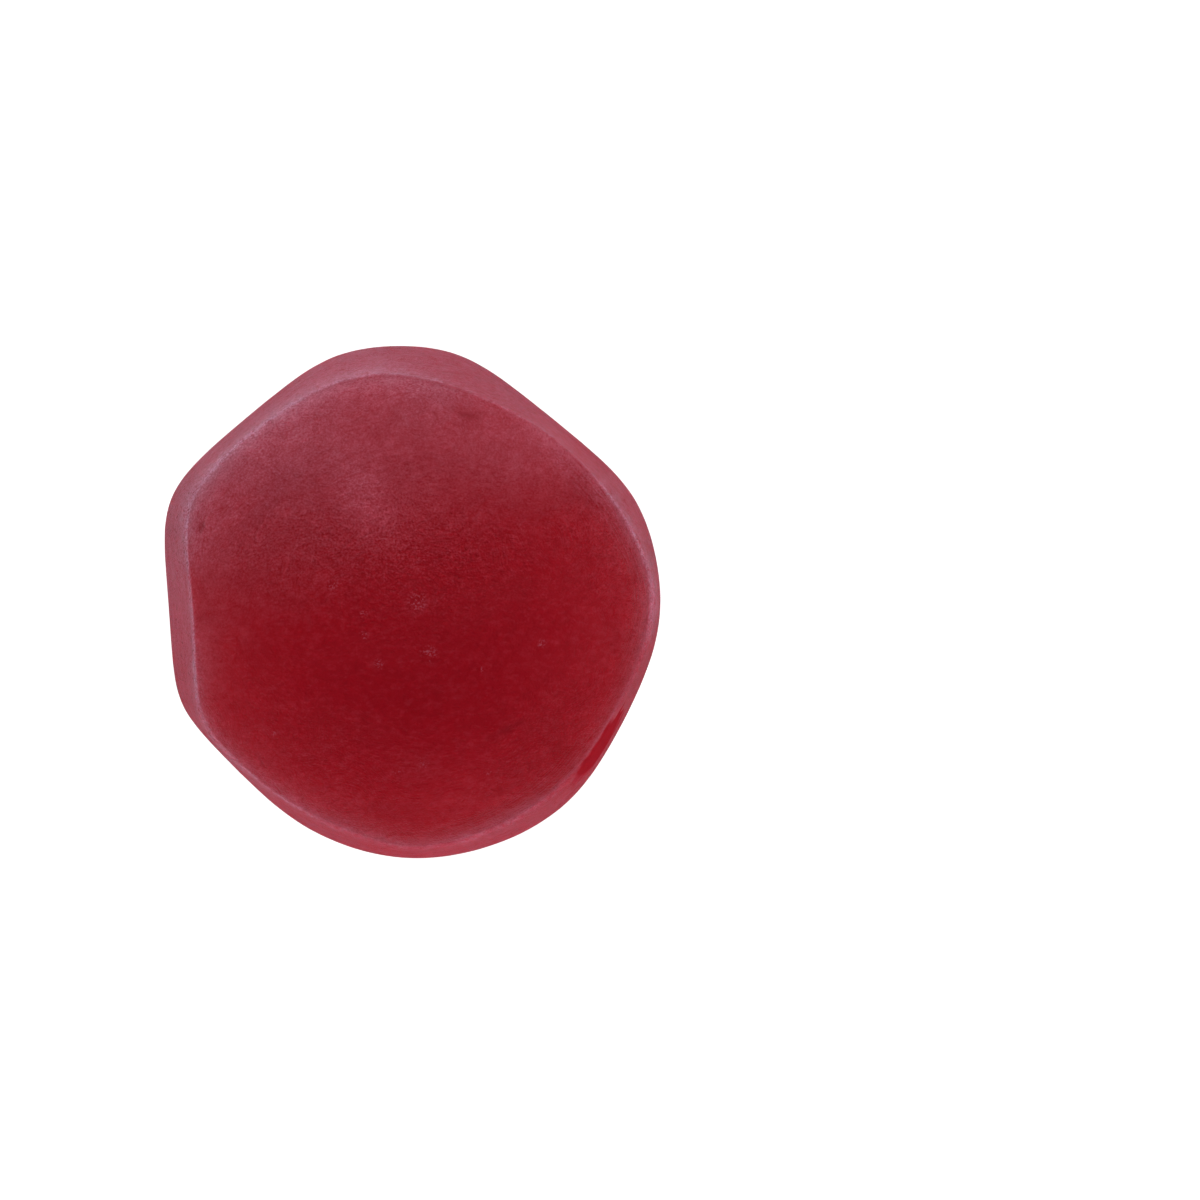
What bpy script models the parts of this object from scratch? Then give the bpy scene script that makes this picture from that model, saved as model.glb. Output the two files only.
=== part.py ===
"""A fruit gummy: a small drop of jelly sweet, cast in one piece and pressed out of round.

The gummy stands on its cast face. Its wall swells from the foot to the belly, leans in to
a creased shoulder, and a low dome closes the top. Neighbours that lay against it while it
was soft have left flats, so the belly and the shoulder are ovals with a few blunt sides.
Sizes are in millimetres and azimuths in degrees from +X towards +Y, seen from above.
"""

import math
from collections import namedtuple

import bmesh
import bpy

METRES = 0.001

# Heights above the surface that the gummy stands on.
HEIGHT = 10.2
DOME_FOOT_HEIGHT = 5.2
BELLY_HEIGHT = 1.9

# The free form at two levels, before its neighbours pressed it.
Oval = namedtuple("Oval", "radius middle stretch stretch_azimuth")
BELLY = Oval(radius=7.33, middle=(-0.22, -0.02), stretch=0.08, stretch_azimuth=134)
SHOULDER = Oval(radius=7.05, middle=(-0.2, -0.24), stretch=0.29, stretch_azimuth=29)

# How far each flat lies from the axis at the belly and at the shoulder, and the radius of
# the neighbour that made it. A press that only touched the top has no reach at the belly.
Press = namedtuple("Press", "azimuth belly shoulder neighbour")
PRESSES = (
    Press(azimuth=31, belly=None, shoulder=6.54, neighbour=500),
    Press(azimuth=51, belly=6.66, shoulder=6.24, neighbour=70),
    Press(azimuth=73, belly=None, shoulder=6.29, neighbour=500),
    Press(azimuth=130, belly=7.16, shoulder=6.98, neighbour=55),
    Press(azimuth=184, belly=7.01, shoulder=6.26, neighbour=32),
    Press(azimuth=224, belly=7.03, shoulder=6.83, neighbour=50),
    Press(azimuth=245, belly=7.42, shoulder=6.78, neighbour=500),
    Press(azimuth=333, belly=7.08, shoulder=6.84, neighbour=500),
)
FLAT_BLEND = 0.3

# The dome is part of a squashed ball, wider than the shoulder that trims it.
DOME_RADIUS = 7.45
DOME_MIDDLE = (-0.1, 0.0)
DOME_FULLNESS = 2.3

# The crease is sharp where a press cut deep into the dome, and soft elsewhere.
SHARP_CREASE = 0.22
SOFT_CREASE = 0.75
SHALLOW_CUT = 0.5
DEEP_CUT = 1.1

WALL_LEAN = 1.35
FOOT_INSET = 0.6
FOOT_FULLNESS = 2.4
HOLLOW_SHARE = 0.7
HOLLOW_DEPTH = 0.25

# Fineness of the mesh.
SECTORS = 96
DOME_RINGS = 18
CREASE_RINGS = 4
WALL_RINGS = 8
FOOT_RINGS = 7
HOLLOW_RINGS = 4

JELLY_RED = (0.38, 0.012, 0.022, 1.0)
JELLY_ROUGHNESS = 0.5


def smooth_least(reaches):
    """The least of several reaches, with the corners between them rounded."""
    least = min(reaches)
    total = sum(math.exp((least - reach) / FLAT_BLEND) for reach in reaches)
    return least - FLAT_BLEND * math.log(total)


def oval_reach(azimuth, oval):
    """How far the free oval reaches from the axis in one direction."""
    across, along = oval.middle
    shift = across * math.cos(azimuth) + along * math.sin(azimuth)
    offset_squared = across**2 + along**2
    reach = shift + math.sqrt(oval.radius**2 - offset_squared + shift**2)
    turn = azimuth - math.radians(oval.stretch_azimuth)
    return reach + oval.stretch * math.cos(2 * turn)


def press_reach(azimuth, press_azimuth, distance, neighbour):
    """How far from the axis the neighbour's face is met, or None where it is missed."""
    turn = azimuth - math.radians(press_azimuth)
    middle = distance + neighbour
    miss = middle * math.sin(turn)
    if math.cos(turn) <= 0 or abs(miss) >= neighbour:
        return None
    return middle * math.cos(turn) - math.sqrt(neighbour**2 - miss**2)


def belly_reach(azimuth):
    """The widest outline of the pressed gummy."""
    reaches = [oval_reach(azimuth, BELLY)]
    for press in PRESSES:
        if press.belly is not None:
            met = press_reach(azimuth, press.azimuth, press.belly, press.neighbour)
            reaches += [met] if met is not None else []
    return smooth_least(reaches)


def shoulder_reach(azimuth):
    """The outline of the crease between the wall and the dome."""
    reaches = [oval_reach(azimuth, SHOULDER)]
    for press in PRESSES:
        met = press_reach(azimuth, press.azimuth, press.shoulder, press.neighbour)
        reaches += [met] if met is not None else []
    return smooth_least(reaches)


def dome_share(azimuth, reach):
    """Distance from the dome's middle as a share of its radius."""
    across = reach * math.cos(azimuth) - DOME_MIDDLE[0]
    along = reach * math.sin(azimuth) - DOME_MIDDLE[1]
    return math.hypot(across, along) / DOME_RADIUS


def dome_height(azimuth, reach):
    """Height of the dome over the point at this azimuth and reach."""
    left = max(0.0, 1 - dome_share(azimuth, reach) ** DOME_FULLNESS)
    return DOME_FOOT_HEIGHT + (HEIGHT - DOME_FOOT_HEIGHT) * math.sqrt(left)


def crease_size(azimuth, shoulder):
    """How far the shoulder's rounding runs to each side of its corner."""
    cut = DOME_RADIUS * (1 - dome_share(azimuth, shoulder))
    depth = min(1.0, max(0.0, (cut - SHALLOW_CUT) / (DEEP_CUT - SHALLOW_CUT)))
    ease = depth * depth * (3 - 2 * depth)
    return SOFT_CREASE + (SHARP_CREASE - SOFT_CREASE) * ease


def wall_reach(height, shoulder, shoulder_height, belly):
    """The wall's reach at a height between the belly and the shoulder."""
    climb = (height - BELLY_HEIGHT) / (shoulder_height - BELLY_HEIGHT)
    return belly - (belly - shoulder) * climb**WALL_LEAN


def dome_points(azimuth, reach_end):
    """Points of the dome from near its top to the crease, as (reach, height)."""
    reaches = [reach_end * ring / DOME_RINGS for ring in range(1, DOME_RINGS + 1)]
    return [(reach, dome_height(azimuth, reach)) for reach in reaches]


def crease_points(start, corner, end):
    """Points that round the corner from start to end, both ends left out."""
    points = []
    for ring in range(1, CREASE_RINGS):
        share = ring / CREASE_RINGS
        weights = ((1 - share) ** 2, 2 * share * (1 - share), share**2)
        points.append(
            tuple(
                sum(weight * point[axis] for weight, point in zip(weights, (start, corner, end)))
                for axis in (0, 1)
            )
        )
    return points


def foot_points(belly):
    """Points that round the bottom edge, from the belly to the cast face."""
    points = []
    for ring in range(FOOT_RINGS + 1):
        angle = math.pi / 2 * ring / FOOT_RINGS
        inward = 1 - math.cos(angle) ** (2 / FOOT_FULLNESS)
        fall = math.sin(angle) ** (2 / FOOT_FULLNESS)
        points.append((belly - FOOT_INSET * inward, BELLY_HEIGHT * (1 - fall)))
    return points


def hollow_points(belly):
    """Points of the shallow hollow in the cast face, from its rim inwards."""
    rim = (belly - FOOT_INSET) * HOLLOW_SHARE
    points = []
    for ring in range(HOLLOW_RINGS):
        share = 1 - ring / HOLLOW_RINGS
        points.append((rim * share, HOLLOW_DEPTH * (1 + math.cos(math.pi * share)) / 2))
    return points


def profile(azimuth):
    """The section at one azimuth as (reach, height), from the top to the hollow."""
    belly = belly_reach(azimuth)
    shoulder = shoulder_reach(azimuth)
    shoulder_height = dome_height(azimuth, shoulder)
    crease = crease_size(azimuth, shoulder)
    dome = dome_points(azimuth, shoulder - crease)
    wall_top = shoulder_height - crease
    wall = []
    for ring in range(WALL_RINGS):
        height = wall_top + (BELLY_HEIGHT - wall_top) * ring / WALL_RINGS
        wall.append((wall_reach(height, shoulder, shoulder_height, belly), height))
    rounding = crease_points(dome[-1], (shoulder, shoulder_height), wall[0])
    return dome + rounding + wall + foot_points(belly) + hollow_points(belly)


def surface_loops(shape):
    """Vertices of the skin, one closed loop for each point of the profile."""
    sections = []
    for sector in range(SECTORS):
        azimuth = 2 * math.pi * sector / SECTORS
        section = []
        for reach, height in profile(azimuth):
            place = (reach * math.cos(azimuth), reach * math.sin(azimuth), height)
            section.append(shape.verts.new([METRES * value for value in place]))
        sections.append(section)
    return list(zip(*sections))


def close_with_fan(shape, loop, height, faces_up):
    """Closes a loop with triangles that meet on the axis."""
    middle = shape.verts.new((0, 0, METRES * height))
    for sector in range(SECTORS):
        here, there = loop[sector], loop[(sector + 1) % SECTORS]
        shape.faces.new((middle, here, there) if faces_up else (middle, there, here))


def gummy_mesh():
    """The closed skin of the gummy."""
    shape = bmesh.new()
    loops = surface_loops(shape)
    for upper, lower in zip(loops, loops[1:]):
        for sector in range(SECTORS):
            beside = (sector + 1) % SECTORS
            shape.faces.new((upper[sector], lower[sector], lower[beside], upper[beside]))
    close_with_fan(shape, loops[0], dome_height(0, 0), faces_up=True)
    close_with_fan(shape, loops[-1], HOLLOW_DEPTH, faces_up=False)
    mesh = bpy.data.meshes.new("gummy")
    shape.to_mesh(mesh)
    shape.free()
    mesh.shade_smooth()
    return mesh


def jelly_material():
    """Dark red fruit jelly with a dull skin."""
    material = bpy.data.materials.new("red_jelly")
    material.use_nodes = True
    shader = material.node_tree.nodes["Principled BSDF"]
    shader.inputs["Base Color"].default_value = JELLY_RED
    shader.inputs["Roughness"].default_value = JELLY_ROUGHNESS
    shader.inputs["Metallic"].default_value = 0.0
    return material


def main():
    for old in list(bpy.data.objects):
        bpy.data.objects.remove(old)
    mesh = gummy_mesh()
    mesh.materials.append(jelly_material())
    gummy = bpy.data.objects.new("gummy", mesh)
    bpy.context.scene.collection.objects.link(gummy)


main()
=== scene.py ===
"""The looks of a fruit gummy: a small drop of dark red jelly under a pale, dusty skin.

The file is laid out as an add-on for Blender 4.5, and is run as a script. Geometry Nodes
shape the gummy from a ball, by the same rule as its solid, work fine relief into its skin
and lay down where its dust lies and where light and shade are painted into its colour. The
tables below are in millimetres and degrees. Azimuths run from +X towards +Y, seen from above.
"""

import math
from collections import namedtuple
from inspect import signature

import bpy
from bpy.props import FloatProperty, FloatVectorProperty, IntProperty, PointerProperty
from bpy.types import Operator, Panel, PropertyGroup
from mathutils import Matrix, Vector


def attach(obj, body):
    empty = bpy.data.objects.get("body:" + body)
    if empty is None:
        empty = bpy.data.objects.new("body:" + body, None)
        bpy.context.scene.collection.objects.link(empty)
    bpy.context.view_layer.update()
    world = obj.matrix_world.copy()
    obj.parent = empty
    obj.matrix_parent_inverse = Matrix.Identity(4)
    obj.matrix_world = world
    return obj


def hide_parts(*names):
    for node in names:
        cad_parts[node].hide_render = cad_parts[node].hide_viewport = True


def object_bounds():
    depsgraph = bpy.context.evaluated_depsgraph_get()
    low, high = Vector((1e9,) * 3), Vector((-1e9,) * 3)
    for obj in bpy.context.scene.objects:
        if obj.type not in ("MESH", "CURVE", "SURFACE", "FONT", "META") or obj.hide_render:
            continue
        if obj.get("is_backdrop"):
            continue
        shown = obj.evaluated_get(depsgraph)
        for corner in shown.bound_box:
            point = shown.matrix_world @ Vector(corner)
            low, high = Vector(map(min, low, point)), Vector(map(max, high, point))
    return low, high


bl_info = {
    "name": "Fruit gummy",
    "version": (1, 0, 0),
    "blender": (4, 5, 0),
    "location": "View3D > Sidebar > Gummy",
    "description": "Makes a dusty red fruit gummy around its solid, with a pale studio",
    "category": "Object",
}

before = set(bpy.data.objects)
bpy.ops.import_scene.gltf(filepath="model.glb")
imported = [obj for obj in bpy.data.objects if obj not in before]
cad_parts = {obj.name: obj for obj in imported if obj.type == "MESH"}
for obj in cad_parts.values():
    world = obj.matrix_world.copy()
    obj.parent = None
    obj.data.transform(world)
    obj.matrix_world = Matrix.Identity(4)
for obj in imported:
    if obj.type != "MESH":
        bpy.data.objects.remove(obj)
CAD_LOW, CAD_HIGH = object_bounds()

NODE = "gummy"
BODY = "root"

MM = 0.001
PER_MM = 1000.0

# The free form at two levels, before its neighbours pressed it.
Oval = namedtuple("Oval", "across along stretch stretch_azimuth")
BELLY = Oval(across=-0.22, along=-0.02, stretch=0.08, stretch_azimuth=134)
SHOULDER = Oval(across=-0.2, along=-0.24, stretch=0.29, stretch_azimuth=29)

# How far each flat lies from the axis at the belly and at the shoulder, and the radius of
# the neighbour that made it. A press that only touched the top has no reach at the belly.
Press = namedtuple("Press", "azimuth belly shoulder neighbour")
PRESSES = (
    Press(31, None, 6.54, 500),
    Press(51, 6.66, 6.24, 70),
    Press(73, None, 6.29, 500),
    Press(130, 7.16, 6.98, 55),
    Press(184, 7.01, 6.26, 32),
    Press(224, 7.03, 6.83, 50),
    Press(245, 7.42, 6.78, 500),
    Press(333, 7.08, 6.84, 500),
)
# Keeps the sum that joins the flats finite where a direction misses a neighbour.
STRONGEST_PULL = 20.0

# The share of the ball's rings that each part of the section takes, from the top down.
RING_SHARES = {"dome": 0.46, "crease": 0.14, "wall": 0.23, "foot": 0.09, "rim": 0.03, "hollow": 0.05}
# Below 1 this crowds the dome's rings towards the crease.
DOME_CROWDING = 0.85

# How much of the jelly the dust hides along the outline. Each stretch reaches half_width to
# both sides of its azimuth and fades out over fade.
Stretch = namedtuple("Stretch", "azimuth half_width fade strength")
DUSTY_WALL = (
    Stretch(2, 8, 10, 0.04),
    Stretch(14, 22, 16, 0.17),
    Stretch(64, 23, 14, 0.06),
    Stretch(104, 10, 16, 0.02),
    Stretch(125, 35.5, 24, 0.20),
    Stretch(194, 34, 26, 0.18),
    Stretch(238, 18, 20, 0.07),
    Stretch(294, 14, 14, 0.05),
    Stretch(340, 10, 14, 0.04),
)
DUSTY_SHOULDER = (
    Stretch(22, 31, 26, 0.17),
    Stretch(64, 16, 20, 0.05),
    Stretch(123, 44, 16, 0.24),
)
DUSTY_EDGE = (
    Stretch(137, 21, 14, 0.10),
    Stretch(184, 18, 14, 0.04),
    Stretch(248, 58, 24, 0.18),
    Stretch(334, 24, 20, 0.08),
)
# The dust of the shoulder and of the edge thins out over these distances from the crease.
SHOULDER_REACH = 1.0
EDGE_REACH = 0.75
DUSTY_RIDGES = (
    Stretch(130, 24, 16, 0.12),
    Stretch(181, 25, 16, 0.26),
    Stretch(262, 26, 20, 0.08),
    Stretch(316, 22, 14, 0.12),
    Stretch(14, 18, 14, 0.08),
    Stretch(66, 9, 8, 0.12),
)
RIDGE_WIDTH = 0.09
# A second, fainter ridge runs beside the first, a little lower on the wall.
DOUBLED_RIDGES = (
    Stretch(20, 12, 8, 0.12),
    Stretch(186, 20, 10, 0.16),
    Stretch(234, 10, 8, 0.12),
)
DOUBLED_DISTANCE = 0.26
DOUBLED_WIDTH = 0.12
# Where the fold itself has kept clear of dust, and where shade is painted into the fold.
FOLDED = (
    Stretch(96, 22, 14, 0.8),
    Stretch(30, 24, 16, 0.6),
    Stretch(270, 48, 20, 0.6),
)
FOLD_WIDTH = 0.14
# Where pores open in the dust on the wall.
PITTED = (
    Stretch(178, 30, 16, 1.0),
    Stretch(120, 24, 20, 0.4),
)
# Dust all over the wall, on top of its stretches.
WALL_DUST = 0.03
# Distances past the crease, which are negative on the dome: where the wall's dust comes in,
# where the ridge lies, where the dome's patches end and where pores begin.
WALL_DUST_BAND = (-0.1, 0.2)
RIDGE_DISTANCE = 0.03
PATCH_END_BAND = (-0.4, 0.0)
PORES_FROM = 0.05
# Further down the wall the dust evens out.
EVEN_BAND = (0.8, 3.0)
EVEN_DUST = 0.09
EVENED_SHARE = 0.5

# A faint painted sheen, in the dust colour, over the side of the dome that faces this way, towards the key
# light, from one distance to another.
VEIL_AZIMUTH = 110
VEIL_START = -0.3
VEIL_END = 5.2
VEIL_STRENGTH = 0.10

# Stretches of the shoulder where the drying skin has wrinkled, the band of wrinkles past the
# crease, how wide its ends fade, and how long one wrinkle is.
WRINKLED = (
    Stretch(12, 30, 16, 1.0),
    Stretch(297, 24, 18, 0.8),
)
WRINKLE_BAND = (-1.6, 0.35)
WRINKLE_FADE = 0.5
WRINKLE_LENGTH = 1.6
# The outline's usual reach, which turns an angle into a distance along it.
OUTLINE_REACH = 7.0

# Relief fades in between these heights, to keep clear of the table.
RELIEF_BAND = (0.2, 0.9)
# Down the wall the lumps lose depth over this distance, to this share.
LUMP_FADE = 3.0
LUMP_SHARE_LEFT = 0.3

# The facet where a neighbour was pulled off and took the dust with it.
BARE_AZIMUTH = -38
BARE_HALF_WIDTH = 12
BARE_START = -0.08
BARE_HALF_HEIGHT = 1.95
# Its border as a share of its size: at the crisp end, and what is added towards the soft
# end and towards the foot. Noise makes it ragged.
BARE_BORDER = 0.09
BARE_END_BORDER = 0.18
BARE_FOOT_BORDER = 0.6
BARE_RAGGEDNESS = 0.9
BARE_CLOUDS_PER_MM = 1.2

# Small dents in the dome: place, half length and half width, heading and depth.
Dent = namedtuple("Dent", "across along length width heading depth")
DENTS = (
    Dent(-6.0, 2.11, 0.30, 0.13, 70, 0.045),
    Dent(-4.27, -4.57, 0.34, 0.09, 110, 0.035),
    Dent(2.8, -3.6, 0.9, 0.16, 28, 0.012),
    Dent(1.6, 5.3, 0.7, 0.20, 160, 0.012),
)

# Soft ovals on the dome: place, half length, half width, heading and strength.
Patch = namedtuple("Patch", "across along length width heading strength")
# Broad patches of dust; the first, where a lump of the dome faces the key light, is partly a painted
# highlight.
SOFT_PATCHES = (
    Patch(-1.3, 3.0, 2.4, 1.3, 118, 0.06),
    Patch(-3.2, 4.2, 2.8, 1.5, 38, 0.04),
    Patch(2.4, 4.0, 2.6, 1.3, 150, 0.03),
    Patch(0.3, -0.1, 0.9, 0.5, 20, 0.02),
    Patch(0.2, -4.7, 1.2, 0.7, 10, 0.02),
)
# Parts where the jelly is brighter, or darker where the strength is below 0: painted light and shade for
# how the lamps fall on the dome, such as the first where a lump faces the key light, mixed with the jelly's
# own tone.
TONED = (
    Patch(-1.2, 2.8, 2.3, 1.3, 118, 0.14),
    Patch(0.8, -3.0, 8.0, 4.6, 12, -0.13),
    Patch(3.6, -5.3, 3.8, 1.8, 36, -0.12),
    Patch(-7.0, -0.6, 3.6, 1.2, 96, 0.1),
    Patch(1.6, 6.4, 4.8, 1.2, 163, -0.13),
    Patch(6.6, -2.5, 2.6, 1.3, 60, -0.1),
    Patch(7.0, 0.0, 1.2, 0.7, 90, 0.1),
    Patch(-0.6, -6.3, 4.4, 1.1, 0, -0.09),
    Patch(-0.4, 5.2, 1.8, 0.9, 10, -0.05),
)
# Parts where the skin is leathery.
LEATHERY = (
    Patch(-1.6, 1.5, 7.0, 3.0, 172, 1.0),
    Patch(2.2, 1.2, 4.0, 2.0, 20, 0.5),
    Patch(5.2, 2.0, 3.2, 1.8, 112, 0.7),
    Patch(3.8, -3.8, 3.4, 1.6, 44, 0.7),
    Patch(-2.4, -4.2, 4.4, 2.2, 145, 0.6),
)

# Pale spots where starch has soaked into the skin: place and radius.
Spot = namedtuple("Spot", "across along radius")
PALE_SPOTS = (
    Spot(0.18, 0.0, 0.36),
    Spot(-2.22, 0.48, 0.2),
    Spot(-1.36, -0.35, 0.18),
    Spot(-1.34, -0.95, 0.2),
    Spot(-0.89, -1.78, 0.22),
    Spot(0.52, -1.49, 0.36),
    Spot(2.05, -1.93, 0.14),
    Spot(3.72, -1.19, 0.2),
    Spot(-0.35, -4.83, 0.2),
    Spot(0.38, -4.54, 0.22),
    Spot(2.2, -4.86, 0.13),
    Spot(-3.87, -3.75, 0.12),
    Spot(-6.9, 2.4, 0.13),
    Spot(-6.49, 0.72, 0.12),
)

# What the studio's view takes in: the middle of the picture and its width.
VIEW_ACROSS = 5.356
VIEW_ALONG = 0.05
VIEW_WIDTH = 34.25

# The light tent's walls fade out between these two elevations.
TENT_FADE_START = math.radians(12)
TENT_FADE_END = math.radians(30)
# From the gummy to each softbox, in metres.
SOFTBOX_DISTANCE = 0.6


def metres(name, description, default, precision=5):
    """A setting that is a length, kept in metres."""
    return FloatProperty(
        name=name, description=description, default=default, unit="LENGTH", precision=precision
    )


def colour(name, description, default):
    """A setting that is a colour."""
    return FloatVectorProperty(
        name=name, description=description, default=default, subtype="COLOR", size=4, min=0, max=1
    )


class GummyShape(PropertyGroup):
    """Sizes of the gummy's form."""

    height: metres("Height", "From the cast face to the top", CAD_HIGH.z)
    dome_foot: metres("Dome Foot", "Height where the whole dome would end", 5.2 * MM)
    dome_radius: metres("Dome Radius", "Radius of the whole dome at its foot", 7.45 * MM)
    dome_across: metres("Dome Across", "How far the dome's middle lies along X", -0.1 * MM)
    dome_fullness: FloatProperty(
        name="Dome Fullness", description="2 is a squashed ball, and more is flatter on top", default=2.3
    )
    belly_height: metres("Belly Height", "Height of the widest outline", 1.9 * MM)
    belly_radius: metres("Belly Radius", "Radius of the free oval at the belly", 7.33 * MM)
    shoulder_radius: metres("Shoulder Radius", "Radius of the free oval at the shoulder", 7.05 * MM)
    flat_blend: metres("Flat Blend", "How widely the corners between flats are rounded", 0.3 * MM)
    sharp_crease: metres("Sharp Crease", "Rounding of the crease where a press cut deep", 0.22 * MM)
    soft_crease: metres("Soft Crease", "Rounding of the crease elsewhere", 0.75 * MM)
    shallow_cut: metres("Shallow Cut", "Cut into the dome that leaves a soft crease", 0.5 * MM)
    deep_cut: metres("Deep Cut", "Cut into the dome that leaves a sharp crease", 1.1 * MM)
    wall_lean: FloatProperty(
        name="Wall Lean", description="1 is a straight wall, and more bulges it outwards", default=1.35
    )
    foot_inset: metres("Foot Inset", "How far the bottom edge is rounded inwards", 0.6 * MM)
    foot_fullness: FloatProperty(
        name="Foot Fullness", description="2 is a round edge, and more is squarer", default=2.4
    )
    hollow_share: FloatProperty(
        name="Hollow Share", description="Share of the cast face that the hollow takes", default=0.7
    )
    hollow_depth: metres("Hollow Depth", "Depth of the hollow in the cast face", 0.25 * MM)


class GummySkin(PropertyGroup):
    """Fine relief of the skin."""

    lump_size: metres("Lump Size", "Spacing of the broad lumps", 2.6 * MM)
    lump_depth: metres("Lump Depth", "Depth between the broad lumps", 0.05 * MM, precision=6)
    dimple_size: metres("Dimple Size", "Spacing of the small dimples", 0.55 * MM)
    dimple_depth: metres("Dimple Depth", "Depth of the small dimples", 0.012 * MM, precision=6)
    wrinkle_spacing: metres("Wrinkle Spacing", "Distance between wrinkles along the shoulder", 0.3 * MM)
    wrinkle_depth: metres("Wrinkle Depth", "Depth of the wrinkles", 0.06 * MM, precision=6)
    segments: IntProperty(name="Segments", description="Faces round the gummy", default=448, min=48)
    rings: IntProperty(
        name="Rings", description="Rows of faces from the top to the hollow", default=200, min=50
    )
    seed: IntProperty(name="Seed", description="Picks the pattern of lumps and dimples", default=7)


class GummyLook(PropertyGroup):
    """Colours and finish."""

    jelly: colour("Jelly", "Colour of the jelly under the dust", (0.38, 0.0036, 0.0115, 1.0))
    # A painted glow: the wall's colour, for light that comes through the jelly.
    thin_jelly: colour(
        "Lit Through Jelly", "Colour of the jelly where light comes through it", (0.51, 0.011, 0.03, 1.0)
    )
    dust: colour("Dust", "Colour of the dusty skin", (0.62, 0.345, 0.49, 1.0))
    roughness: FloatProperty(
        name="Roughness", description="Roughness of the dusty skin", default=0.38, min=0, max=1
    )
    glow_depth: metres("Glow Depth", "How far red light travels inside the jelly", 1.6 * MM)


class GummyStage(PropertyGroup):
    """The pale studio."""

    floor_size: metres("Floor Size", "Side of the square floor", 3.0)
    camera_distance: metres("Camera Distance", "From the camera to the belly", 0.9)
    key_watts: FloatProperty(
        name="Key Light", description="Power of the broad light behind the gummy", default=2.0, unit="POWER"
    )
    fill_watts: FloatProperty(
        name="Fill Light", description="Power of the low light in front", default=1.5, unit="POWER"
    )
    side_watts: FloatProperty(
        name="Side Light", description="Power of the low light on the right", default=0.4, unit="POWER"
    )
    tent_glow: FloatProperty(name="Tent Glow", description="Brightness of the tent's walls", default=1.9)
    top_glow: FloatProperty(name="Top Glow", description="Brightness of the tent overhead", default=0.04)


class GummySettings(PropertyGroup):
    """All settings of the gummy."""

    shape: PointerProperty(type=GummyShape)
    skin: PointerProperty(type=GummySkin)
    look: PointerProperty(type=GummyLook)
    stage: PointerProperty(type=GummyStage)


# ---------------------------------------------------------------- numbers inside node trees


def feed(slot, value):
    """Links a term or a socket to an input, or sets a plain value on it."""
    source = value.socket if isinstance(value, Term) else value
    if isinstance(source, bpy.types.NodeSocket):
        slot.id_data.links.new(source, slot)
    else:
        slot.default_value = source


def add_node(tree, kind, inputs=None, **settings):
    """A new node with its settings made and its inputs fed."""
    node = tree.nodes.new(kind)
    for name, value in settings.items():
        setattr(node, name, value)
    for key, value in (inputs or {}).items():
        feed(node.inputs[key], value)
    return node


def calculate(tree, operation, *values):
    """One Math node on terms and plain numbers."""
    node = add_node(tree, "ShaderNodeMath", dict(enumerate(values)), operation=operation)
    return Term(tree, node.outputs[0])


class Term:
    """A number in a node tree. Arithmetic on terms adds the Math nodes that work it out."""

    def __init__(self, tree, socket):
        self.tree = tree
        self.socket = socket

    def __add__(self, other):
        return calculate(self.tree, "ADD", self, other)

    def __radd__(self, other):
        return calculate(self.tree, "ADD", other, self)

    def __sub__(self, other):
        return calculate(self.tree, "SUBTRACT", self, other)

    def __rsub__(self, other):
        return calculate(self.tree, "SUBTRACT", other, self)

    def __mul__(self, other):
        return calculate(self.tree, "MULTIPLY", self, other)

    def __rmul__(self, other):
        return calculate(self.tree, "MULTIPLY", other, self)

    def __truediv__(self, other):
        return calculate(self.tree, "DIVIDE", self, other)

    def __rtruediv__(self, other):
        return calculate(self.tree, "DIVIDE", other, self)

    def __pow__(self, other):
        return calculate(self.tree, "POWER", self, other)

    def squared(self):
        return self * self

    def root(self):
        return calculate(self.tree, "SQRT", self)

    def sine(self):
        return calculate(self.tree, "SINE", self)

    def cosine(self):
        return calculate(self.tree, "COSINE", self)

    def arc_cosine(self):
        return calculate(self.tree, "ARCCOSINE", self)

    def exponential(self):
        return calculate(self.tree, "EXPONENT", self)

    def natural_log(self):
        return calculate(self.tree, "LOGARITHM", self, math.e)

    def size(self):
        return calculate(self.tree, "ABSOLUTE", self)

    def at_least(self, other):
        return calculate(self.tree, "MAXIMUM", self, other)

    def at_most(self, other):
        return calculate(self.tree, "MINIMUM", self, other)

    def above(self, other):
        return calculate(self.tree, "GREATER_THAN", self, other)

    def turn_from(self, azimuth):
        """The angle to an azimuth, from 0 to half a turn."""
        return calculate(self.tree, "WRAP", self - azimuth, math.pi, -math.pi).size()

    def rise(self, low, high):
        """0 below low and 1 above high, eased between them."""
        inputs = {"Value": self, "From Min": low, "From Max": high}
        node = add_node(self.tree, "ShaderNodeMapRange", inputs, interpolation_type="SMOOTHSTEP")
        return Term(self.tree, node.outputs["Result"])

    def towards(self, other, share):
        """This number at share 0, the other at share 1."""
        return self + (other - self) * share


def bell(term, middle, width):
    """1 at the middle, falling off to both sides."""
    return (((term - middle) / width).squared() * -1).exponential()


def separate(tree, vector):
    """The three parts of a vector, as terms."""
    node = add_node(tree, "ShaderNodeSeparateXYZ", {"Vector": vector})
    return [Term(tree, socket) for socket in node.outputs]


def combine(tree, x, y, z):
    """A vector socket made of three numbers."""
    return add_node(tree, "ShaderNodeCombineXYZ", {"X": x, "Y": y, "Z": z}).outputs[0]


def scaled(tree, vector, factor):
    """A vector socket that is a vector times a number."""
    node = add_node(tree, "ShaderNodeVectorMath", {"Vector": vector, "Scale": factor}, operation="SCALE")
    return node.outputs[0]


def shifted(tree, vector, offset):
    """A vector socket moved by a plain offset or another vector."""
    return add_node(tree, "ShaderNodeVectorMath", {0: vector, 1: offset}, operation="ADD").outputs[0]


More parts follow.
